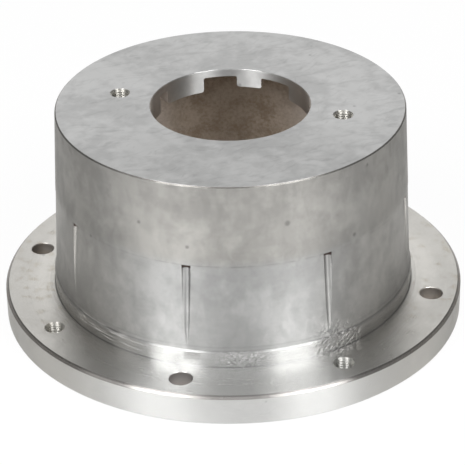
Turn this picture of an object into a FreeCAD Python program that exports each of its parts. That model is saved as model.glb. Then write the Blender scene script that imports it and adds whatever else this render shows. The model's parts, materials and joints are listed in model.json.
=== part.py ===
# Pump bell housing: one aluminium casting, machined outside, that carries a hydraulic pump
# above an electric motor and keeps the two shafts in line. All sizes are in millimetres.
# The origin is the centre of the motor face. +Z runs along the bore axis to the pump face,
# and +X points at one of the two threaded holes beside the pump's bore.

import FreeCAD
import Part
import math
import os

# Overall sizes
HEIGHT = 143.0
DRAFT_DEG = 2.5

# Motor flange
FLANGE_D = 300.0
FLANGE_T = 20.0
FLANGE_TOP_CHAMFER = 2.0
FLANGE_FOOT_CHAMFER = 1.0

# Holes on the motor flange: clearance and threaded ones take turns round one circle,
# which keeps its distance from the rim
HOLES_TO_RIM = 17.5
BOLT_CIRCLE_D = FLANGE_D - 2 * HOLES_TO_RIM
FLANGE_HOLE_COUNT = 8
CLEARANCE_HOLE_D = 14.5
HOLE_CHAMFER = 0.5

# Register for the motor's spigot, just inside the circle of holes
HOLES_TO_REGISTER = 17.5
REGISTER_D = BOLT_CIRCLE_D - 2 * HOLES_TO_REGISTER
REGISTER_DEPTH = 5.0
REGISTER_CHAMFER = 1.0

# M12 threaded holes are cut here to the thread's outside diameter
THREAD_D = 12.0

# Smooth band round the foot of the bell. The bolt heads need its distance from the holes.
HOLES_TO_BAND = 15.25
BAND_D = BOLT_CIRCLE_D - 2 * HOLES_TO_BAND
BAND_H = 11.0
BAND_FOOT_CHAMFER = 0.6

# Bell wall. The turned stretch is a shade thinner than the casting skin above it.
BAND_TO_BELL_TOP = 5.75
BELL_TOP_D = BAND_D - 2 * BAND_TO_BELL_TOP
BELL_TOP_CHAMFER = 0.8
WALL = 14.0
TURNED_TOP_Z = 89.5
TURNED_CUT = 0.2

# Pump face
BORE_D = 101.6
BORE_CHAMFER = 0.5
PUMP_HOLE_SPACING = 146.0
RIM_T = 5.0
CEILING_CHAMFER = 6.0

# Pads under the pump face, as (angle from +X, width, depth below the pump face).
# Each runs right across, and the bore cuts it into two.
BOSS_PAD = (0.0, 23.0, 18.0)
RIB_PAD = (90.0, 16.4, 12.5)
WIDE_PAD = (39.5, 28.6, 15.0)
PAD_EDGE_RADIUS = 1.8
PAD_ROOT_RADIUS = 1.2

# Bolt flutes on the outside wall, one beside each flange hole. A round cutter leans out
# from the wall, so each flute is deepest at its top and runs out at its foot.
FLUTE_CUTTER_D = 6.0
FLUTE_DEPTH = 2.1
FLUTE_FOOT_Z = 34.0

# How far a cutting body reaches past the face that it opens
REACH = 1.0

AXIS = FreeCAD.Vector(0, 0, 1)
CENTRE = FreeCAD.Vector(0, 0, 0)


def unit(start, end):
    """Direction from one profile point to another."""
    step = end.sub(start)
    return step.normalize()


def rounded_wire(corners):
    """Closed wire through (x, z, corner radius) points in the XZ plane."""
    points = [FreeCAD.Vector(x, 0, z) for x, z, _ in corners]
    count = len(points)
    starts = []
    ends = []
    arcs = []
    for i, (_, _, radius) in enumerate(corners):
        here = points[i]
        back = unit(here, points[i - 1])
        ahead = unit(here, points[(i + 1) % count])
        if radius <= 0:
            starts.append(here)
            ends.append(here)
            arcs.append(None)
            continue
        half = back.getAngle(ahead) / 2
        reach = radius / math.tan(half)
        bisector = (back + ahead).normalize()
        middle = here + bisector * (radius / math.sin(half) - radius)
        starts.append(here + back * reach)
        ends.append(here + ahead * reach)
        arcs.append(Part.Arc(starts[i], middle, ends[i]).toShape())
    edges = []
    for i in range(count):
        if arcs[i]:
            edges.append(arcs[i])
        following = starts[(i + 1) % count]
        if ends[i].distanceToPoint(following) > 1e-6:
            edges.append(Part.makeLine(ends[i], following))
    return Part.Wire(edges)


def revolved(corners):
    """Solid of revolution about the bore axis."""
    return Part.Face(rounded_wire(corners)).revolve(CENTRE, AXIS, 360)


def skin_radius(z):
    """Radius of the bell's cast skin at a height: it leans in by the draft."""
    return BELL_TOP_D / 2 + (HEIGHT - z) * math.tan(math.radians(DRAFT_DEG))


def turned_radius(z):
    """Radius of the turned stretch of the wall."""
    return skin_radius(z) - TURNED_CUT


def inner_radius(z):
    """Radius of the cast inside, parallel to the skin."""
    return skin_radius(z) - WALL


def outer_body():
    """Flange and bell as one turned shape, still solid inside."""
    rim = FLANGE_D / 2
    band = BAND_D / 2
    band_top = FLANGE_T + BAND_H
    ledge = band - turned_radius(band_top)
    shoulder = HEIGHT - BELL_TOP_CHAMFER
    return revolved([
        (0, 0, 0),
        (rim - FLANGE_FOOT_CHAMFER, 0, 0),
        (rim, FLANGE_FOOT_CHAMFER, 0),
        (rim, FLANGE_T - FLANGE_TOP_CHAMFER, 0),
        (rim - FLANGE_TOP_CHAMFER, FLANGE_T, 0),
        (band + BAND_FOOT_CHAMFER, FLANGE_T, 0),
        (band, FLANGE_T + BAND_FOOT_CHAMFER, 0),
        (band, band_top - ledge, 0),
        (turned_radius(band_top), band_top, 0),
        (turned_radius(TURNED_TOP_Z), TURNED_TOP_Z, 0),
        (skin_radius(TURNED_TOP_Z), TURNED_TOP_Z + TURNED_CUT, 0),
        (skin_radius(shoulder), shoulder, 0),
        (BELL_TOP_D / 2 - BELL_TOP_CHAMFER, HEIGHT, 0),
        (0, HEIGHT, 0),
    ])


def pad_bar(angle, width, depth):
    """Bar across the bell under the pump face, with a rounded lower edge and root."""
    ceiling = HEIGHT - RIM_T
    low = HEIGHT - depth
    half = width / 2
    foot = half + 3 * PAD_ROOT_RADIUS
    section = rounded_wire([
        (-foot, ceiling + REACH, 0),
        (-foot, ceiling, 0),
        (-half, ceiling, PAD_ROOT_RADIUS),
        (-half, low, PAD_EDGE_RADIUS),
        (half, low, PAD_EDGE_RADIUS),
        (half, ceiling, PAD_ROOT_RADIUS),
        (foot, ceiling, 0),
        (foot, ceiling + REACH, 0),
    ])
    length = BELL_TOP_D
    bar = Part.Face(section).extrude(FreeCAD.Vector(0, length, 0))
    bar.translate(FreeCAD.Vector(0, -length / 2, 0))
    bar.rotate(CENTRE, AXIS, angle - 90)
    return bar


def pad_bars():
    """All pads: bosses for the pump's threaded holes, ribs, and wide pads between them."""
    wide_angle, wide_width, wide_depth = WIDE_PAD
    return [
        pad_bar(*BOSS_PAD),
        pad_bar(*RIB_PAD),
        pad_bar(wide_angle, wide_width, wide_depth),
        pad_bar(-wide_angle, wide_width, wide_depth),
    ]


def cavity():
    """Cast inside of the bell, with the motor's register at its mouth and pads left standing."""
    register = REGISTER_D / 2
    ceiling = HEIGHT - RIM_T
    corner = ceiling - CEILING_CHAMFER
    hollow = revolved([
        (0, -REACH, 0),
        (register + REGISTER_CHAMFER + REACH, -REACH, 0),
        (register, REGISTER_CHAMFER, 0),
        (register, REGISTER_DEPTH, 0),
        (inner_radius(REGISTER_DEPTH), REGISTER_DEPTH, 0),
        (inner_radius(corner), corner, 0),
        (inner_radius(ceiling) - CEILING_CHAMFER, ceiling, 0),
        (0, ceiling, 0),
    ])
    return hollow.cut(pad_bars())


def pump_bore():
    """Bore for the pump's spigot, through the rim and the pads."""
    radius = BORE_D / 2
    deepest = max(BOSS_PAD[2], RIB_PAD[2], WIDE_PAD[2])
    flare = BORE_CHAMFER + REACH
    return revolved([
        (0, HEIGHT - deepest - REACH, 0),
        (radius, HEIGHT - deepest - REACH, 0),
        (radius, HEIGHT - BORE_CHAMFER, 0),
        (radius + flare, HEIGHT + REACH, 0),
        (0, HEIGHT + REACH, 0),
    ])


def through_hole(diameter, low, high, x, y):
    """Hole from one face to another, with a chamfer at each end."""
    radius = diameter / 2
    flare = HOLE_CHAMFER + REACH
    hole = revolved([
        (0, low - REACH, 0),
        (radius + flare, low - REACH, 0),
        (radius, low + HOLE_CHAMFER, 0),
        (radius, high - HOLE_CHAMFER, 0),
        (radius + flare, high + REACH, 0),
        (0, high + REACH, 0),
    ])
    hole.translate(FreeCAD.Vector(x, y, 0))
    return hole


def flange_holes():
    """Clearance and threaded holes in turn, evenly round the bolt circle."""
    holes = []
    for i in range(FLANGE_HOLE_COUNT):
        angle = 2 * math.pi * i / FLANGE_HOLE_COUNT
        x = BOLT_CIRCLE_D / 2 * math.cos(angle)
        y = BOLT_CIRCLE_D / 2 * math.sin(angle)
        diameter = THREAD_D if i % 2 else CLEARANCE_HOLE_D
        holes.append(through_hole(diameter, 0, FLANGE_T, x, y))
    return holes


def pump_holes():
    """Two threaded holes through the boss pads, one each side of the bore."""
    low = HEIGHT - BOSS_PAD[2]
    half = PUMP_HOLE_SPACING / 2
    return [through_hole(THREAD_D, low, HEIGHT, x, 0) for x in (-half, half)]


def flutes():
    """Shallow round flutes in the wall, each in line with a flange hole."""
    cutter = FLUTE_CUTTER_D / 2
    top = FreeCAD.Vector(turned_radius(TURNED_TOP_Z) - FLUTE_DEPTH + cutter, 0, TURNED_TOP_Z)
    foot = FreeCAD.Vector(turned_radius(FLUTE_FOOT_Z) + cutter, 0, FLUTE_FOOT_Z)
    way = unit(top, foot)
    length = top.distanceToPoint(foot)
    flute = Part.makeCylinder(cutter, length, top, way)
    spacing = 360.0 / FLANGE_HOLE_COUNT
    return [flute.rotated(CENTRE, AXIS, spacing * i) for i in range(FLANGE_HOLE_COUNT)]


def bell_housing():
    """The finished casting."""
    body = outer_body().cut(cavity())
    body = body.cut([pump_bore()] + pump_holes())
    body = body.cut(flange_holes() + flutes())
    return body.removeSplitter().Solids[0]


os.makedirs("parts", exist_ok=True)
bell_housing().exportStep("parts/bell_housing.step")
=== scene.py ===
import json
import math
from types import SimpleNamespace

import bpy
from mathutils import Matrix, Vector


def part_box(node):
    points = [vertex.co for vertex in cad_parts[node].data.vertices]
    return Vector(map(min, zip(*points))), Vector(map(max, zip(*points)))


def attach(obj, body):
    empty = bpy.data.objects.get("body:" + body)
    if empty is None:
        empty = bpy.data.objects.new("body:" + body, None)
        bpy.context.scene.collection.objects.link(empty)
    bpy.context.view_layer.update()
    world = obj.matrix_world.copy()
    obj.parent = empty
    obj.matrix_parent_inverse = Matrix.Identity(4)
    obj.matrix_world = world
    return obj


bl_info = {
    "name": "Pump bell housing dresser",
    "version": (1, 0, 0),
    "blender": (4, 5, 0),
    "location": "3D View > Sidebar > Bell housing",
    "description": "Finishes a cast pump bell housing, cuts its threads and sets a studio stage",
    "category": "Object",
}

# The centre of the housing's motor face is at the origin, with +Z along the bore. Lengths are in
# metres.
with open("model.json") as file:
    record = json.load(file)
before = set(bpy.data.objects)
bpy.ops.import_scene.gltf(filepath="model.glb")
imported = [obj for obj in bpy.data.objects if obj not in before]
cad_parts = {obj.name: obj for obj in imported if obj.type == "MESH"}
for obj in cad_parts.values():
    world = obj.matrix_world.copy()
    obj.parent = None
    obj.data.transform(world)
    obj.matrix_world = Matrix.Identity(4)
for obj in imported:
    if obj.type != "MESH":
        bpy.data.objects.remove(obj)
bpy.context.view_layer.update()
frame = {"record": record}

HOUSING = "bell_housing"
BODY = "root"
MM = 0.001
SHORTEST = 0.01 * MM
WHITE = (1.0, 1.0, 1.0, 1.0)

MOUNTS = {mount["name"]: mount for mount in frame["record"]["mounts"]}
BASE_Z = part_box(HOUSING)[0][2]
TOP_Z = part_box(HOUSING)[1][2]
BORE_RADIUS = MOUNTS["pump_bore"]["dims"]["r_mm"] * MM
PLAIN_HOLE_RADIUS = MOUNTS["motor_bolts"]["dims"]["hole_r_mm"] * MM
THREAD_RADIUS = MOUNTS["pump_bolts"]["dims"]["hole_r_mm"] * MM
PUMP_HOLE_X = MOUNTS["pump_bolts"]["dims"]["spacing_x_mm"] * MM / 2
BOLT_CIRCLE_RADIUS = MOUNTS["motor_threaded_holes"]["dims"]["pcd_mm"] * MM / 2

# Sizes of the housing that the finish and the threads follow
FLANGE_TOP_Z = BASE_Z + 20 * MM
BAND_TOP_Z = FLANGE_TOP_Z + 11 * MM
TURNED_TOP_Z = BASE_Z + 89.5 * MM
FLANGE_RADIUS = 150 * MM
BAND_RADIUS = 117.25 * MM
BELL_TOP_RADIUS = 111.5 * MM
LEAN = math.tan(math.radians(2.5))
WALL = 14 * MM
RIM_T = 5 * MM
REGISTER_DEPTH = 5 * MM
BOSS_DEPTH = 18 * MM
HOLE_CHAMFER = 0.5 * MM

# Screw threads: share of the pitch that a ridge is wide at its root, how far the root is sunk in
# the hole's wall, and the form of the cone that trims the ridges at the mouth of a hole
ROOT_SHARE = 0.94
ROOT_SINK = 0.02 * MM
CONE_PAST_FACE = 3 * MM
CONE_SIDES = 64
SMOOTH_ANGLE = math.radians(35)

# A bevelled edge is a surface whose normal leans up this far: lowest and highest height of the
# normal's end, and how softly the edge begins
BEVEL_UP = (0.55, 0.85, 0.02)

# Turn of the housing's front, where its marks are told apart as in front and at the sides
FRONT_TURN = math.radians(14.5)

# Scuffed patches at the foot of the bell: angle from the front in degrees, how far each reaches
# round the bell, its middle and how far it reaches down the wall and out on the flange, in
# millimetres. The middle is a radius less a height.
SLANTED_SCUFFS = (33, 23, 90, 16)
LEVEL_SCUFFS = (-42, 40, 89, 8)
FINE_SCUFFS = (2, 18, 92, 9)

# Dark spots on the wall: angle from the front in degrees, height above the foot and reach in
# millimetres
WALL_SPOTS = ((17, 116, 2.4), (41, 95, 1.8), (-30, 113, 1.7), (-14, 102, 1.6))

# Soft lamps: azimuth from the camera and elevation in degrees, distance, width and height in
# metres, and the brightness of the lamp's face
LAMPS = (
    ("left key", -40, 44, 1.6, 0.66, 1.0, 6.15),
    ("right key", 42, 44, 1.6, 0.74, 1.0, 5.4),
    ("left fill", -58, 32, 2.0, 1.3, 1.2, 0.79),
    ("middle fill", -10, 32, 2.0, 1.3, 1.2, 1.3),
    ("right fill", 37, 32, 2.0, 1.3, 1.2, 1.15),
    ("overhead", 0, 88, 1.8, 1.2, 1.2, 0.93),
    ("back", 180, 32, 1.8, 1.3, 1.1, 0.89),
)
LAMP_AIM = Vector((0, 0, 0.07))
FLOOR_SIZE = 8.0
SENSOR_WIDTH_MM = 36.0
NEAREST_SEEN = 0.01


def colour_setting(name, description, default):
    return bpy.props.FloatVectorProperty(
        name=name, description=description, subtype="COLOR", size=3, min=0, max=1,
        default=default)


def factor_setting(name, description, default):
    return bpy.props.FloatProperty(
        name=name, description=description, subtype="FACTOR", min=0, max=1, default=default)


def length_setting(name, description, default):
    return bpy.props.FloatProperty(
        name=name, description=description, subtype="DISTANCE", unit="LENGTH",
        min=SHORTEST, default=default)


def angle_setting(name, description, degrees):
    return bpy.props.FloatProperty(
        name=name, description=description, subtype="ANGLE", unit="ROTATION",
        default=math.radians(degrees))


class FinishSettings(bpy.types.PropertyGroup):
    """Finish of the turned and the cast surfaces."""

    metal_colour: colour_setting(
        "Metal colour", "Colour of the turned aluminium", (0.66, 0.66, 0.65))
    side_colour: colour_setting(
        "Side colour", "Colour of the flange's turned side", (0.765, 0.765, 0.75))
    face_colour: colour_setting(
        "Face colour", "Colour of the ground pump face", (0.51, 0.51, 0.505))
    skin_colour: colour_setting(
        "Skin colour", "Colour of the bell's wall above the turned part", (0.665, 0.665, 0.655))
    bore_colour: colour_setting(
        "Bore colour", "Colour of the freshly bored walls and pads", (0.69, 0.69, 0.68))
    # Painted dark reflection: the shoulder chamfer is darker than the metal round it
    edge_colour: colour_setting(
        "Edge colour", "Colour of the chamfer round the bell's shoulder", (0.475, 0.47, 0.46))
    # Painted dark reflection: the rim chamfer is darker than the metal round it
    rim_colour: colour_setting(
        "Rim colour", "Colour of the chamfer round the flange, darkened as a painted dark reflection", (0.42, 0.405, 0.39))
    cast_colour: colour_setting(
        "Cast colour", "Colour of the rough cast skin inside", (0.55, 0.465, 0.38))
    cast_dark: colour_setting(
        "Dark cast colour", "Colour of the hollows in the cast skin", (0.36, 0.28, 0.205))
    # Painted light: the cast skin inside turns paler towards the two sides
    side_light_colour: colour_setting(
        "Side light colour", "Colour of the painted light on the cast skin towards the two sides", (1.0, 0.94, 0.90))
    thread_colour: colour_setting(
        "Thread colour", "Colour of the freshly cut threads", (0.68, 0.68, 0.66))
    hole_colour: colour_setting(
        "Hole colour", "Colour of the dull walls of the plain holes", (0.74, 0.71, 0.69))
    # Painted shade: a dark colour at the blind top of each flute, under its lip
    flute_shade_colour: colour_setting(
        "Flute shade colour", "Colour of the painted shade at the blind top of each flute", (0.20, 0.155, 0.145))
    # Warm tint: painted reflection on the outside towards its two sides, and the skin wall's own
    # tone
    warm_tint: colour_setting(
        "Warm tint", "Tint of the outside towards the two sides", (1.0, 0.975, 0.935))
    # Painted shade: the flange turns warmer and darker in mottled patches at its two sides
    flange_shade_tint: colour_setting(
        "Flange shade tint", "Tint of the stains on the flange at the two sides", (0.92, 0.87, 0.79))
    # Painted reflection: the bore's two sides are tinted brown like the cast skin that they mirror
    bore_reflection_tint: colour_setting(
        "Bore reflection tint", "Tint of the painted reflection of the cast skin in the bore's two sides", (1.0, 0.90, 0.82))
    wall_roughness: factor_setting(
        "Wall roughness", "Roughness of the turned part of the bell's wall", 0.62)
    skin_roughness: factor_setting(
        "Skin roughness", "Roughness of the bell's wall above the turned part", 0.70)
    flange_roughness: factor_setting(
        "Flange roughness", "Roughness of the flange and the band", 0.42)
    sheen_roughness: factor_setting(
        "Sheen roughness", "Roughness of the smoother facets of the turned metal", 0.255)
    thread_roughness: factor_setting(
        "Thread roughness", "Roughness of the freshly cut threads", 0.5)
    face_roughness: factor_setting("Face roughness", "Roughness of the pump face", 0.36)
    cast_roughness: factor_setting("Cast roughness", "Roughness of the cast skin", 0.62)
    turning_pitch: length_setting(
        "Turning pitch", "Distance between the marks of the turning tool", 0.25 * MM)


class ThreadSettings(bpy.types.PropertyGroup):
    """Form of the screw threads."""

    pitch: length_setting("Pitch", "Distance from one turn of the thread to the next", 1.75 * MM)
    depth: length_setting(
        "Depth", "Height of the ridge, from the outside diameter inwards", 0.92 * MM)
    crest: length_setting("Crest", "Width of the flat on the ridge", 0.3 * MM)
    steps: bpy.props.IntProperty(
        name="Steps", description="Flats in one turn of the thread", min=12, default=40)


class StageSettings(bpy.types.PropertyGroup):
    """Floor, lamps and camera."""

    floor_colour: colour_setting("Floor colour", "Colour of the plain floor", (0.93, 0.93, 0.93))
    whiteness: factor_setting(
        "Whiteness", "How far the floor looks plain white, against its shading", 0.92)
    sky: bpy.props.FloatProperty(
        name="Sky", description="Brightness of the grey room round the lamps",
        min=0, default=0.28)
    distance: length_setting(
        "Camera distance", "From the foot of the housing to the camera", 1.4551)
    elevation: angle_setting("Camera elevation", "Angle of the camera above the floor", 31.38)
    azimuth: angle_setting("Camera azimuth", "Turn of the camera from the housing's front", 14.5)
    aim_height: length_setting(
        "Aim height", "Height on the bore axis that the camera looks at", 48.84 * MM)
    roll: angle_setting("Camera roll", "Turn of the camera about its own view", -0.99)
    lens: bpy.props.FloatProperty(
        name="Lens", description="Focal length in millimetres on a 36 mm sensor",
        min=10, default=168.8)


def opaque(colour):
    """Colour of a setting as the four numbers that a node takes."""
    return tuple(colour) + (1.0,)


class Graph:
    """Short way to write a material's nodes."""

    def __init__(self, material):
        material.use_nodes = True
        self.tree = material.node_tree
        self.shader = self.tree.nodes["Principled BSDF"]
        self.output = self.tree.nodes["Material Output"]

    def node(self, kind, **settings):
        made = self.tree.nodes.new(kind)
        for name, value in settings.items():
            setattr(made, name, value)
        return made

    def feed(self, socket, value):
        if isinstance(value, bpy.types.NodeSocket):
            self.tree.links.new(value, socket)
        else:
            socket.default_value = value

    def math(self, operation, *values):
        made = self.node("ShaderNodeMath", operation=operation)
        for socket, value in zip(made.inputs, values):
            self.feed(socket, value)
        return made.outputs[0]

    def vector(self, operation, *values):
        made = self.node("ShaderNodeVectorMath", operation=operation)
        for socket, value in zip(made.inputs, values):
            self.feed(socket, value)
        return made.outputs[0]

    def times(self, first, *others):
        """Product of values. Of masks, it is where all of them hold."""
        product = first
        for value in others:
            product = self.math("MULTIPLY", product, value)
        return product

    def most(self, first, *others):
        """Highest of the values. Of masks, it is where any of them holds."""
        highest = first
        for value in others:
            highest = self.math("MAXIMUM", highest, value)
        return highest

    def without(self, mask):
        """Where a mask doesn't hold."""
        return self.math("SUBTRACT", 1.0, mask)

    def above(self, value, limit):
        return self.math("GREATER_THAN", value, limit)

    def below(self, value, limit):
        return self.math("LESS_THAN", value, limit)

    def vary(self, value, noise, spread):
        """Value that a noise moves up or down by half of the spread at most."""
        return self.math("MULTIPLY_ADD", noise, spread, self.math("SUBTRACT", value, spread / 2))

    def combine(self, x, y, z):
        made = self.node("ShaderNodeCombineXYZ")
        for socket, value in zip(made.inputs, (x, y, z)):
            self.feed(socket, value)
        return made.outputs[0]

    def split(self, vector):
        made = self.node("ShaderNodeSeparateXYZ")
        self.feed(made.inputs[0], vector)
        return tuple(made.outputs)

    def length(self, across, along):
        squares = [self.math("POWER", side, 2.0) for side in (across, along)]
        return self.math("SQRT", self.math("ADD", *squares))

    def mix(self, data_type, first_input, fac, first, second):
        made = self.node("ShaderNodeMix", data_type=data_type)
        self.feed(made.inputs["Factor"], fac)
        self.feed(made.inputs[first_input], first)
        self.feed(made.inputs[first_input + 1], second)
        return made

    def between(self, fac, first, second):
        """Value between two others."""
        return self.mix("FLOAT", 2, fac, first, second).outputs[0]

    def vector_between(self, fac, first, second):
        return self.mix("VECTOR", 4, fac, first, second).outputs[1]

    def blend(self, fac, first, second):
        """Colour between two others."""
        return self.mix("RGBA", 6, fac, first, second).outputs[2]

    def ramp(self, value, low, high):
        """Smooth rise from 0 at the lower limit to 1 at the higher one."""
        made = self.node("ShaderNodeMapRange", interpolation_type="SMOOTHSTEP")
        self.feed(made.inputs[0], value)
        made.inputs[1].default_value = low
        made.inputs[2].default_value = high
        return made.outputs[0]

    def inside(self, value, low, high, fade):
        """1 where a value lies between two limits, fading at both."""
        rise = self.ramp(value, low - fade, low + fade)
        fall = self.without(self.ramp(value, high - fade, high + fade))
        return self.times(rise, fall)

    def noise(self, vector, size, detail=2.0, rough=0.5):
        made = self.node("ShaderNodeTexNoise")
        self.feed(made.inputs["Vector"], vector)
        made.inputs["Scale"].default_value = 1 / size
        made.inputs["Detail"].default_value = detail
        made.inputs["Roughness"].default_value = rough
        return made.outputs[0]

    def line_noise(self, value, size, detail=2.0):
        made = self.node("ShaderNodeTexNoise", noise_dimensions="1D")
        self.feed(made.inputs["W"], value)
        made.inputs["Scale"].default_value = 1 / size
        made.inputs["Detail"].default_value = detail
        return made.outputs[0]

    def white_noise(self, vector):
        made = self.node("ShaderNodeTexWhiteNoise")
        self.feed(made.inputs["Vector"], vector)
        return made.outputs["Value"]

    def bump(self, height, distance, normal=None):
        made = self.node("ShaderNodeBump")
        self.feed(made.inputs["Height"], height)
        made.inputs["Distance"].default_value = distance
        made.inputs["Strength"].default_value = 1.0
        if normal is not None:
            self.feed(made.inputs["Normal"], normal)
        return made.outputs[0]


def hole_places(g, place):
    """Masks of the threaded and the plain holes, and the way round the nearest thread."""
    wide = g.math("ABSOLUTE", place.x)
    deep = g.math("ABSOLUTE", place.y)
    low = g.below(place.z, TOP_Z / 2)
    diagonal = BOLT_CIRCLE_RADIUS * math.sqrt(0.5)
    off_x = g.math("SUBTRACT", wide, g.between(low, PUMP_HOLE_X, diagonal))
    off_y = g.math("SUBTRACT", deep, g.times(low, diagonal))
    place.thread = g.below(g.length(off_x, off_y), THREAD_RADIUS + 0.6 * MM)
    turned_x = g.times(off_x, g.math("SIGN", place.x))
    turned_y = g.times(off_y, g.math("SIGN", place.y))
    place.round_thread = g.combine(g.times(turned_y, -1.0), turned_x, 0.0)
    out = g.math("SUBTRACT", g.math("MAXIMUM", wide, deep), BOLT_CIRCLE_RADIUS)
    to_plain = g.length(out, g.math("MINIMUM", wide, deep))
    place.plain_hole = g.times(
        g.below(to_plain, PLAIN_HOLE_RADIUS + 0.2 * MM),
        g.below(place.z, FLANGE_TOP_Z - 0.2 * MM))


def inside_places(g, place):
    """Masks of the bore and the cast skin inside."""
    place.bored = g.below(place.radius, BORE_RADIUS + 0.3 * MM)
    place.cast = g.times(
        g.above(place.sunk, WALL / 2),
        g.above(place.radius, BORE_RADIUS + 0.3 * MM),
        g.above(place.z, BASE_Z + REGISTER_DEPTH + 0.2 * MM),
        g.below(place.z, TOP_Z - RIM_T + 0.3 * MM),
        g.without(place.thread))


def outside_places(g, place):
    """Masks of the pump face, the bell's wall, the band at its foot and the flange."""
    place.pump_face = g.above(place.z, TOP_Z - 0.05 * MM)
    place.outer = g.times(
        g.above(place.radius, BELL_TOP_RADIUS - WALL / 2), g.without(place.pump_face))
    place.wall = g.times(g.ramp(place.z, BAND_TOP_Z - 2 * MM, BAND_TOP_Z + 1 * MM), place.outer)
    place.skin_wall = g.times(
        place.outer, g.ramp(place.z, TURNED_TOP_Z - 3 * MM, TURNED_TOP_Z + 6 * MM))
    place.step = g.times(
        place.outer, g.inside(place.z, TURNED_TOP_Z - 0.2 * MM, TURNED_TOP_Z + 0.4 * MM, 0.2 * MM))
    # Blind top of each flute, which gets a painted shade
    place.flute_top = g.times(
        place.outer,
        g.ramp(place.sunk, 0.25 * MM, 0.45 * MM),
        g.inside(place.z, TURNED_TOP_Z - 2.6 * MM, TURNED_TOP_Z, 0.4 * MM))
    place.band = g.inside(place.radius, BAND_RADIUS - 1 * MM, BAND_RADIUS + 0.5 * MM, 0.3 * MM)
    place.flange = g.above(place.radius, BAND_RADIUS + 1 * MM)
    place.flange_side = g.above(place.radius, FLANGE_RADIUS - 0.2 * MM)
    place.foot = g.times(
        g.inside(place.z, FLANGE_TOP_Z - 2 * MM, BAND_TOP_Z + 4 * MM, 2 * MM),
        g.inside(place.radius, 105 * MM, 122 * MM, 3 * MM))


def edge_places(g, place):
    """Masks of the bevelled edges outside."""
    bevel = g.inside(place.up, *BEVEL_UP)
    place.shoulder = g.times(bevel, place.outer, g.above(place.z, TOP_Z - 5 * MM))
    near_band = g.inside(place.radius, BAND_RADIUS - 2.25 * MM, BAND_RADIUS + 1.25 * MM, 0.3 * MM)
    # Chamfers at the band's top and foot, which get painted shade
    place.ledge = g.times(bevel, near_band)
    place.band_foot = g.times(place.ledge, g.below(place.z, FLANGE_TOP_Z + 1.5 * MM))
    place.rim = g.times(bevel, g.above(place.radius, FLANGE_RADIUS - 4 * MM))
    # Upper edge of the rim chamfer, which gets a painted dark reflection
    place.rim_edge = g.times(place.rim, g.below(place.radius, FLANGE_RADIUS - 1.3 * MM))


def surface_places(g):
    """Where a point lies on the housing, and masks of the surfaces that differ in finish."""
    place = SimpleNamespace()
    place.position = g.node("ShaderNodeTexCoord").outputs["Object"]
    place.x, place.y, place.z = g.split(place.position)
    place.radius = g.length(place.x, place.y)
    place.angle = g.math("ARCTAN2", place.y, place.x)
    place.along = g.math("SUBTRACT", place.radius, place.z)
    skin_radius = g.math("MULTIPLY_ADD", place.z, -LEAN, BELL_TOP_RADIUS + TOP_Z * LEAN)
    place.sunk = g.math("SUBTRACT", skin_radius, place.radius)
    from_front = g.math("SUBTRACT", place.angle, FRONT_TURN)
    place.sideways = g.math("ABSOLUTE", g.math("COSINE", from_front))
    place.frontward = g.times(g.math("SINE", from_front), -1.0)
    geometry = g.node("ShaderNodeNewGeometry").outputs
    place.normal = geometry["Normal"]
    place.up = g.split(geometry["True Normal"])[2]
    hole_places(g, place)
    inside_places(g, place)
    outside_places(g, place)
    edge_places(g, place)
    return place


def bent_position(g, position):
    """Position pushed about by a broad noise, so that strokes along it come out curved."""
    push = g.node("ShaderNodeTexNoise")
    g.feed(push.inputs["Vector"], position)
    push.inputs["Scale"].default_value = 1 / (30 * MM)
    return g.vector("MULTIPLY_ADD", push.outputs["Color"], (24 * MM,) * 3, position)


def streaks(g, position, turn, length, width, low, high):
    """Noise drawn out along one direction, as soft strokes."""
    mapping = g.node("ShaderNodeMapping", vector_type="TEXTURE")
    g.feed(mapping.inputs["Vector"], position)
    mapping.inputs["Rotation"].default_value = turn
    mapping.inputs["Scale"].default_value = (length, width, width)
    return g.ramp(g.noise(mapping.outputs[0], 1.0), low, high)


def squiggles(g, position, size, width):
    """Thin wandering lines, where a noise crosses its middle value."""
    off = g.math("ABSOLUTE", g.math("SUBTRACT", g.noise(position, size, detail=1.5), 0.5))
    return g.without(g.ramp(off, width * 0.4, width))


def pits(g, position, spacing, size):
    """Small soft spots, one in some of the cells that a piece of surface falls into."""
    cells = g.node("ShaderNodeTexVoronoi")
    g.feed(cells.inputs["Vector"], position)
    cells.inputs["Scale"].default_value = 1 / spacing
    reach = size / spacing
    return g.without(g.ramp(cells.outputs["Distance"], reach * 0.4, reach))


def scuffed_patch(g, place, mottle, azimuth, reach_round, middle, reach_along):
    """Ragged patch on the outside, at an angle from the front."""
    turn = FRONT_TURN - math.pi / 2 + math.radians(azimuth)
    off_round = g.times(
        g.math("SUBTRACT", place.angle, turn), BAND_RADIUS / (reach_round * MM))
    off_along = g.math(
        "DIVIDE", g.math("SUBTRACT", place.along, middle * MM), reach_along * MM)
    off = g.math("MULTIPLY_ADD", mottle, 1.4, g.length(off_round, off_along))
    return g.times(place.outer, g.without(g.ramp(off, 1.2, 1.8)))


def spot_at(g, place, azimuth, height, size):
    """Soft spot on the bell's wall, at an angle from the front and a height above the foot."""
    turn = FRONT_TURN - math.pi / 2 + math.radians(azimuth)
    height = BASE_Z + height * MM
    reach = BELL_TOP_RADIUS + (TOP_Z - height) * LEAN
    away = g.node("ShaderNodeVectorMath", operation="DISTANCE")
    g.feed(away.inputs[0], place.position)
    away.inputs[1].default_value = (reach * math.cos(turn), reach * math.sin(turn), height)
    return g.without(g.ramp(away.outputs["Value"], size * 0.4 * MM, size * MM))


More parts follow.
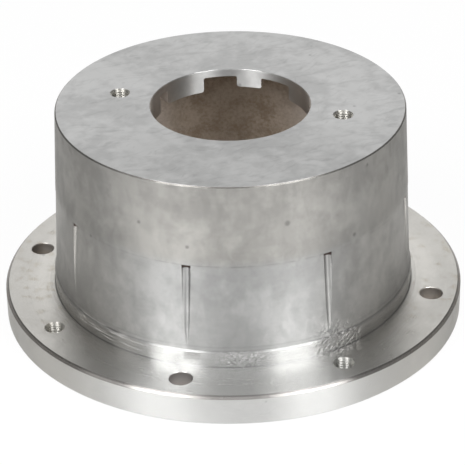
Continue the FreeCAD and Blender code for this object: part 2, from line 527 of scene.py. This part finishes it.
def scuff_marks(g, place, mark):
    """Scratches, nicks and glints in the scuffed patches at the foot of the bell."""
    unrolled = g.combine(g.times(place.angle, BAND_RADIUS), place.along, 0.0)
    slanted, level, fine = [
        scuffed_patch(g, place, mark.mottle, *patch)
        for patch in (SLANTED_SCUFFS, LEVEL_SCUFFS, FINE_SCUFFS)]
    mark.scratches = g.most(
        g.times(slanted, streaks(g, unrolled, (0, 0, -0.6), 6 * MM, 1.1 * MM, 0.54, 0.64)),
        g.times(level, streaks(g, unrolled, (0, 0, 0.03), 20 * MM, 1.1 * MM, 0.54, 0.64)))
    bruised = g.most(slanted, fine)
    mark.nicks = g.times(squiggles(g, unrolled, 5.0 * MM, 0.05), bruised)
    mark.glints = g.times(squiggles(g, unrolled, 3.6 * MM, 0.045), bruised)


def surface_marks(g, place, finish):
    """Turning marks, clouds, scuffs, strokes, and painted shade on the flange's two sides, each as
    a value from 0 to 1.
    """
    mark = SimpleNamespace()
    position = place.position
    mark.fine_turning = g.line_noise(place.along, finish.turning_pitch)
    mark.broad_turning = g.line_noise(place.along, 1.6 * MM, detail=3.0)
    mark.facets = g.white_noise(position)
    mark.cloud = g.noise(position, 45 * MM, detail=3.0)
    mark.mottle = g.noise(position, 9 * MM, detail=4.0, rough=0.6)
    mark.grain = g.noise(position, 2.2 * MM, detail=5.0, rough=0.65)
    mark.lumps = g.noise(position, 14 * MM, detail=3.0)
    bent = bent_position(g, position)
    mark.strokes = g.most(
        streaks(g, bent, (0, 0, 0.6), 40 * MM, 3.6 * MM, 0.54, 0.70),
        streaks(g, bent, (0, 0, 1.1), 18 * MM, 2.6 * MM, 0.58, 0.76))
    mark.rain = streaks(g, bent, (0, math.pi / 2, 0), 22 * MM, 7 * MM, 0.4, 0.65)
    mark.pits = pits(g, position, 34 * MM, 1.5 * MM)
    mark.spots = g.most(*[spot_at(g, place, *spot) for spot in WALL_SPOTS])
    # Painted shade: mottled, warmer patches on the flange at its two sides
    mark.far = g.ramp(place.sideways, 0.80, 0.98)
    mark.stains = g.times(mark.far, place.flange, g.ramp(mark.mottle, 0.52, 0.66))
    scuff_marks(g, place, mark)
    return mark


def zone_colour(g, place, finish):
    """Colour of each machined surface, before its marks, with painted shade at the flute tops and
    painted dark reflections on the chamfers.
    """
    colour = opaque(finish.metal_colour)
    for zone, paint in (
            (place.bored, finish.bore_colour),
            (place.flange_side, finish.side_colour),
            (place.skin_wall, finish.skin_colour),
            (place.pump_face, finish.face_colour),
            (place.shoulder, finish.edge_colour),
            (place.rim, finish.rim_colour),
            (place.thread, finish.thread_colour),
            (place.plain_hole, finish.hole_colour),
            (place.flute_top, finish.flute_shade_colour)):
        colour = g.blend(zone, colour, opaque(paint))
    return colour


def surface_shade(g, place, mark):
    """How far marks, wear and painted shade make the metal darker, or lighter where it is above 1.
    """
    mixed = g.math("MULTIPLY_ADD", mark.mottle, 0.4, g.times(mark.cloud, 0.6))
    clouds = g.ramp(mixed, 0.4, 0.6)
    # Painted shade: the pump face is darker towards the front
    face_front = g.times(place.pump_face, g.ramp(place.frontward, 0.2, 0.9))
    # Painted shade: the foot of the wall is darker at its two sides, where the flange hides the
    # light
    low_sides = g.times(
        place.wall,
        g.without(g.ramp(place.z, BAND_TOP_Z, BAND_TOP_Z + 35 * MM)),
        g.ramp(place.sideways, 0.7, 1.0))
    # Painted shade: the outer flange is darker at its two sides
    far_flange = g.times(mark.far, g.ramp(place.radius, 126 * MM, 140 * MM))
    # Painted shade: the flange's side is darker at its two ends
    far_side = g.times(place.flange_side, g.ramp(place.sideways, 0.75, 0.97))
    # Painted shade: the skin wall and the turned part darken towards their tops
    high_skin = g.times(place.skin_wall, g.ramp(place.z, TURNED_TOP_Z + 15 * MM, TOP_Z))
    high_turned = g.times(place.wall, g.ramp(place.z, BAND_TOP_Z + 10 * MM, TURNED_TOP_Z))
    worn_step = g.times(place.step, g.ramp(mark.mottle, 0.42, 0.58))
    # Painted shade: the plain holes are darker near their mouths than deeper down
    hole_mouth = g.times(
        place.plain_hole, g.ramp(place.z, FLANGE_TOP_Z - 11 * MM, FLANGE_TOP_Z))
    turned_foot = g.times(place.foot, g.ramp(mark.broad_turning, 0.4, 0.6))
    shade = g.between(clouds, 1.0, g.between(place.flange, 0.84, 0.95))
    for share, level in (
            (g.times(mark.rain, place.wall), 0.93),
            (g.times(mark.strokes, place.pump_face), 0.89),
            (face_front, 0.90),
            (low_sides, 0.80),
            (far_flange, 0.90),
            (high_skin, 0.83),
            (place.wall, 0.915),
            (high_turned, 0.88),
            (place.band, 0.96),
            (far_side, 0.84),
            (worn_step, 0.8),
            # painted shade on the chamfers at the band's top and foot
            (place.ledge, 0.85),
            (place.band_foot, 0.54),
            # painted dark reflection on the rim chamfer's upper edge
            (place.rim_edge, 0.6),
            (hole_mouth, 0.5),
            (turned_foot, 0.9),
            (mark.nicks, 0.75),
            (mark.glints, 1.2),
            (mark.pits, 0.72),
            (g.times(mark.spots, place.wall), 0.7)):
        shade = g.times(shade, g.between(share, 1.0, level))
    return shade


def surface_tint(g, place, mark, finish):
    """Warm tint: the skin's own warm tone, with painted reflection and painted shade towards the
    sides and in the bore.
    """
    # Painted reflection: the outside turns warmer towards its two sides; the skin wall also has a
    # warm tone of its own
    warm_side_reflection = g.times(g.ramp(place.sideways, 0.35, 0.85), g.without(place.pump_face))
    warm = g.most(warm_side_reflection, g.times(place.skin_wall, 0.8))
    # Painted reflection of the brown cast skin in the bore's two sides
    reflecting_bore = g.times(place.bored, g.ramp(place.sideways, 0.6, 0.9))
    tint = WHITE
    for share, paint in (
            (warm, finish.warm_tint),
            (mark.stains, finish.flange_shade_tint),
            (reflecting_bore, finish.bore_reflection_tint)):
        tint = g.blend(share, tint, opaque(paint))
    return tint


def metal_colour(g, place, mark, finish):
    """Colour of the machined surfaces, with what dulls and marks them, and with painted shade and
    reflections.
    """
    worn = g.vector("MULTIPLY", zone_colour(g, place, finish), surface_shade(g, place, mark))
    return g.vector("MULTIPLY", worn, surface_tint(g, place, mark, finish))


def cast_colour(g, place, mark, finish):
    """Colour of the rough skin inside, made paler towards the two sides by painted light."""
    mixed = g.math("MULTIPLY_ADD", mark.lumps, 0.5, g.times(mark.grain, 0.5))
    skin = g.blend(
        g.ramp(mixed, 0.35, 0.65), opaque(finish.cast_dark), opaque(finish.cast_colour))
    # Painted light towards the two sides of the cast skin
    lit_sides = g.times(g.ramp(place.sideways, 0.25, 0.8), 0.7)
    return g.blend(lit_sides, skin, opaque(finish.side_light_colour))


def surface_gloss(g, place, mark, finish):
    """Roughness, and how far the turning marks draw reflections out, for every surface."""
    share = g.between(g.ramp(place.radius, 122 * MM, 136 * MM), 0.82, 0.70)
    for zone, level in (
            (place.wall, 0.15),
            (place.flange_side, 0.3),
            (place.skin_wall, 0.06),
            (place.bored, 0.0),
            (place.shoulder, 0.5)):
        share = g.between(zone, share, level)
    smooth = g.below(mark.facets, share)
    matt = g.most(place.wall, place.flange_side, place.bored)
    rough = g.between(matt, finish.flange_roughness, finish.wall_roughness)
    rough = g.between(place.skin_wall, rough, finish.skin_roughness)
    rough = g.between(smooth, rough, finish.sheen_roughness)
    rough = g.vary(rough, mark.mottle, 0.10)
    rough = g.vary(rough, mark.broad_turning, 0.05)
    ground = g.vary(finish.face_roughness, mark.mottle, 0.14)
    skin_drawn = g.between(g.ramp(place.z, TURNED_TOP_Z, TOP_Z), 0.86, 0.70)
    wall_drawn = g.between(g.ramp(place.z, BAND_TOP_Z + 10 * MM, TURNED_TOP_Z), 0.97, 0.87)
    drawn = g.between(smooth, g.between(place.wall, 1.0, wall_drawn), 1.0)
    for zone, roughness, length in (
            (place.skin_wall, rough, skin_drawn),
            (place.pump_face, ground, 0.2),
            (place.thread, finish.thread_roughness, 1.0),
            (place.plain_hole, 0.7, 0.0),
            (place.flute_top, 0.8, 0.0),
            (place.cast, finish.cast_roughness, 0.0)):
        rough = g.between(zone, rough, roughness)
        drawn = g.between(zone, drawn, length)
    return rough, drawn


def housing_material(finish):
    """Turned aluminium outside and rough cast skin inside, in one material."""
    material = bpy.data.materials.new("turned and cast aluminium")
    g = Graph(material)
    place = surface_places(g)
    mark = surface_marks(g, place, finish)
    metal = metal_colour(g, place, mark, finish)
    cast = cast_colour(g, place, mark, finish)
    rough, drawn = surface_gloss(g, place, mark, finish)
    bright = g.math("MULTIPLY_ADD", mark.scratches, -0.5, 1.0)
    g.feed(g.shader.inputs["Base Color"], g.blend(place.cast, metal, cast))
    g.feed(g.shader.inputs["Metallic"], g.between(place.cast, bright, 0.15))
    g.feed(g.shader.inputs["Roughness"], rough)
    g.feed(g.shader.inputs["Anisotropic"], drawn)

    circling = g.combine(g.times(place.y, -1.0), place.x, 0.0)
    circling = g.vector(
        "NORMALIZE", g.vector_between(place.thread, circling, place.round_thread))
    across = g.vector("NORMALIZE", g.vector("CROSS_PRODUCT", place.normal, circling))
    g.feed(g.shader.inputs["Tangent"], across)

    turned = g.without(g.most(place.cast, place.thread))
    bumped = g.bump(g.times(mark.fine_turning, turned), 0.006 * MM)
    bumped = g.bump(g.math("SUBTRACT", mark.glints, mark.nicks), 0.12 * MM, bumped)
    cast_height = g.times(g.math("MULTIPLY_ADD", mark.lumps, 2.0, mark.grain), place.cast)
    g.feed(g.shader.inputs["Normal"], g.bump(cast_height, 0.6 * MM, bumped))
    return material


def seen_or_mirrored(g):
    """1 on rays from the camera and on rays mirrored or let through on the way, else 0."""
    path = g.node("ShaderNodeLightPath").outputs
    return g.most(path["Is Camera Ray"], path["Is Glossy Ray"], path["Is Transmission Ray"])


def floor_material(stage):
    """Matt floor that looks white, with what the lamps and the shadow do to it kept in part.

    Under the housing, where no light comes, it isn't white.
    """
    material = bpy.data.materials.new("pale floor")
    g = Graph(material)
    x, y, _ = g.split(g.node("ShaderNodeTexCoord").outputs["Object"])
    clear = g.ramp(g.length(x, y), FLANGE_RADIUS - 8 * MM, FLANGE_RADIUS)
    g.feed(g.shader.inputs["Base Color"], opaque(stage.floor_colour))
    g.shader.inputs["Roughness"].default_value = 0.9
    white = g.node("ShaderNodeEmission")
    g.feed(white.inputs["Color"], WHITE)
    white.inputs["Strength"].default_value = 1.0
    mix = g.node("ShaderNodeMixShader")
    g.feed(mix.inputs[0], g.times(seen_or_mirrored(g), stage.whiteness, clear))
    g.feed(mix.inputs[1], g.shader.outputs[0])
    g.feed(mix.inputs[2], white.outputs[0])
    g.feed(g.output.inputs["Surface"], mix.outputs[0])
    return material


def deselect_all():
    """Leaves edit mode and drops the selection."""
    if bpy.context.object and bpy.context.object.mode != "OBJECT":
        bpy.ops.object.mode_set(mode="OBJECT")
    bpy.ops.object.select_all(action="DESELECT")


def pick(thing):
    """Selects one object only, as the active one."""
    deselect_all()
    thing.select_set(True)
    bpy.context.view_layer.objects.active = thing


def apply_place(thing):
    """Bakes an object's place, turn and scale into its mesh."""
    pick(thing)
    bpy.ops.object.transform_apply(location=True, rotation=True, scale=True)


def ridge_section(threads, low):
    """Flat trapezium in the XZ plane: the thread's ridge, cut across."""
    deselect_all()
    bpy.ops.mesh.primitive_plane_add(size=1.0, location=(0, 0, 0))
    section = bpy.context.object
    root = THREAD_RADIUS + ROOT_SINK
    crest = THREAD_RADIUS - threads.depth
    half_root = threads.pitch * ROOT_SHARE / 2
    half_crest = threads.crest / 2
    corners = ((crest, -half_crest), (root, -half_root), (crest, half_crest), (root, half_root))
    for vertex, (across, up) in zip(section.data.vertices, corners):
        vertex.co = (across, 0, low + up)
    return section


def cap_ends(thread):
    """Closes the open end of the ridge at each end of the screw."""
    pick(thread)
    bpy.ops.object.mode_set(mode="EDIT")
    for sign in (-1, 1):
        bpy.ops.mesh.select_all(action="DESELECT")
        bpy.ops.object.mode_set(mode="OBJECT")
        heights = [vertex.co.z for vertex in thread.data.vertices]
        middle = (min(heights) + max(heights)) / 2
        counts = {}
        for polygon in thread.data.polygons:
            for key in polygon.edge_keys:
                counts[key] = counts.get(key, 0) + 1
        for edge in thread.data.edges:
            ends = [thread.data.vertices[i].co.z for i in edge.vertices]
            edge.select = counts.get(edge.key, 0) == 1 and sign * (sum(ends) / 2 - middle) > 0
        bpy.ops.object.mode_set(mode="EDIT")
        bpy.ops.mesh.select_mode(type="EDGE")
        bpy.ops.mesh.edge_face_add()
    bpy.ops.mesh.select_all(action="SELECT")
    bpy.ops.mesh.normals_make_consistent(inside=False)
    bpy.ops.object.mode_set(mode="OBJECT")


def countersink(z, down):
    """Cone that trims the ridge where a hole's chamfer opens, at one face of the hole."""
    mouth = THREAD_RADIUS + HOLE_CHAMFER
    depth = mouth + CONE_PAST_FACE
    middle = z + (CONE_PAST_FACE - depth / 2) * (1 if down else -1)
    deselect_all()
    bpy.ops.mesh.primitive_cone_add(
        vertices=CONE_SIDES, radius1=0 if down else depth, radius2=depth if down else 0,
        depth=depth, location=(0, 0, middle))
    return bpy.context.object


def cut_away(thing, cutter):
    """Takes one object's shape out of another, and removes it."""
    pick(thing)
    boolean = thing.modifiers.new("trim", "BOOLEAN")
    boolean.operation = "DIFFERENCE"
    boolean.solver = "EXACT"
    boolean.object = cutter
    bpy.ops.object.modifier_apply(modifier=boolean.name)
    bpy.data.objects.remove(cutter)


def screw_thread(name, threads, low, high):
    """One internal thread about the Z axis, from one face of a hole to the other."""
    turns = math.ceil((high - low) / threads.pitch) + 1
    thread = ridge_section(threads, low - threads.pitch)
    thread.name = name
    pick(thread)
    screw = thread.modifiers.new("turns", "SCREW")
    screw.axis = "Z"
    screw.screw_offset = threads.pitch
    screw.iterations = turns
    screw.steps = threads.steps
    screw.render_steps = threads.steps
    screw.use_merge_vertices = False
    bpy.ops.object.modifier_apply(modifier=screw.name)
    cap_ends(thread)
    cut_away(thread, countersink(high, down=True))
    cut_away(thread, countersink(low, down=False))
    pick(thread)
    bpy.ops.object.shade_smooth_by_angle(angle=SMOOTH_ANGLE)
    return thread


def copy_to(source, name, x, y):
    """Named copy of a thread in a hole of its own."""
    pick(source)
    bpy.ops.object.duplicate(linked=False)
    copy = bpy.context.object
    copy.name = name
    copy.location = (x, y, 0)
    apply_place(copy)
    return copy


class BELL_OT_finish(bpy.types.Operator):
    """Gives the casting its turned and cast surfaces"""

    bl_idname = "bell.finish"
    bl_label = "Finish the casting"

    def execute(self, context):
        material = housing_material(context.scene.bell_finish)
        for slot in bpy.data.objects[HOUSING].material_slots:
            slot.material = material
        return {"FINISHED"}


class BELL_OT_threads(bpy.types.Operator):
    """Cuts the screw threads in the six threaded holes"""

    bl_idname = "bell.threads"
    bl_label = "Cut the threads"

    def execute(self, context):
        threads = context.scene.bell_threads
        material = bpy.data.objects[HOUSING].material_slots[0].material
        motor = screw_thread("motor thread pattern", threads, BASE_Z, FLANGE_TOP_Z)
        pump = screw_thread("pump thread pattern", threads, TOP_Z - BOSS_DEPTH, TOP_Z)
        pieces = []
        for i in range(4):
            angle = math.radians(45 + 90 * i)
            x = BOLT_CIRCLE_RADIUS * math.cos(angle)
            y = BOLT_CIRCLE_RADIUS * math.sin(angle)
            pieces.append(copy_to(motor, f"motor_thread_{i + 1}", x, y))
        for i, x in enumerate((-PUMP_HOLE_X, PUMP_HOLE_X)):
            pieces.append(copy_to(pump, f"pump_thread_{i + 1}", x, 0))
        bpy.data.objects.remove(motor)
        bpy.data.objects.remove(pump)
        for piece in pieces:
            piece.data.materials.clear()
            piece.data.materials.append(material)
            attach(piece, BODY)
        return {"FINISHED"}


def softbox(name, azimuth, elevation, distance, width, height, level):
    """Area lamp aimed at the housing. Its level is the brightness of its face."""
    away = Vector((
        math.cos(elevation) * math.sin(azimuth),
        -math.cos(elevation) * math.cos(azimuth),
        math.sin(elevation)))
    bpy.ops.object.light_add(type="AREA", location=LAMP_AIM + away * distance)
    lamp = bpy.context.object
    lamp.name = name
    lamp.data.shape = "RECTANGLE"
    lamp.data.size = width
    lamp.data.size_y = height
    lamp.data.energy = level * math.pi * width * height
    lamp.rotation_euler = away.to_track_quat("Z", "Y").to_euler()


def place_camera(stage):
    """Camera at the angle of the reference view."""
    aim = Vector((0, 0, stage.aim_height))
    place = Vector((
        math.cos(stage.elevation) * math.sin(stage.azimuth),
        -math.cos(stage.elevation) * math.cos(stage.azimuth),
        math.sin(stage.elevation))) * stage.distance
    forward = (aim - place).normalized()
    level = forward.cross(Vector((0, 0, 1))).normalized()
    upright = level.cross(forward)
    right = level * math.cos(stage.roll) + upright * math.sin(stage.roll)
    up = upright * math.cos(stage.roll) - level * math.sin(stage.roll)
    turn = Matrix((right, up, -forward)).transposed()
    bpy.ops.object.camera_add(location=place, rotation=turn.to_euler())
    camera = bpy.context.object
    camera.data.lens = stage.lens
    camera.data.sensor_width = SENSOR_WIDTH_MM
    camera.data.clip_start = NEAREST_SEEN
    bpy.context.scene.camera = camera


class BELL_OT_stage(bpy.types.Operator):
    """Sets the floor, the soft lamps and the camera"""

    bl_idname = "bell.stage"
    bl_label = "Set the stage"

    def execute(self, context):
        stage = context.scene.bell_stage
        deselect_all()
        bpy.ops.mesh.primitive_plane_add(size=FLOOR_SIZE, location=(0, 0, BASE_Z))
        floor = bpy.context.object
        floor.name = "floor"
        floor.data.materials.append(floor_material(stage))
        for name, side, height, distance, across, tall, level in LAMPS:
            softbox(name, stage.azimuth + math.radians(side), math.radians(height),
                    distance, across, tall, level)
        world = bpy.data.worlds.new("studio")
        world.use_nodes = True
        background = world.node_tree.nodes["Background"]
        background.inputs["Color"].default_value = WHITE
        background.inputs["Strength"].default_value = stage.sky
        context.scene.world = world
        context.scene.view_settings.view_transform = "Standard"
        place_camera(stage)
        return {"FINISHED"}


class BELL_PT_panel(bpy.types.Panel):
    """Lists the steps and their settings"""

    bl_idname = "BELL_PT_panel"
    bl_label = "Bell housing"
    bl_space_type = "VIEW_3D"
    bl_region_type = "UI"
    bl_category = "Bell housing"

    def draw(self, context):
        scene = context.scene
        steps = (
            (BELL_OT_finish, scene.bell_finish),
            (BELL_OT_threads, scene.bell_threads),
            (BELL_OT_stage, scene.bell_stage),
        )
        for operator, settings in steps:
            box = self.layout.box()
            box.operator(operator.bl_idname)
            for name in settings.__annotations__:
                box.prop(settings, name)


CLASSES = (
    FinishSettings,
    ThreadSettings,
    StageSettings,
    BELL_OT_finish,
    BELL_OT_threads,
    BELL_OT_stage,
    BELL_PT_panel,
)


def register():
    for made in CLASSES:
        bpy.utils.register_class(made)
    bpy.types.Scene.bell_finish = bpy.props.PointerProperty(type=FinishSettings)
    bpy.types.Scene.bell_threads = bpy.props.PointerProperty(type=ThreadSettings)
    bpy.types.Scene.bell_stage = bpy.props.PointerProperty(type=StageSettings)


def unregister():
    del bpy.types.Scene.bell_finish
    del bpy.types.Scene.bell_threads
    del bpy.types.Scene.bell_stage
    for made in reversed(CLASSES):
        bpy.utils.unregister_class(made)


def main():
    register()
    bpy.ops.bell.finish()
    bpy.ops.bell.threads()
    bpy.ops.bell.stage()


if __name__ == "__main__":
    main()
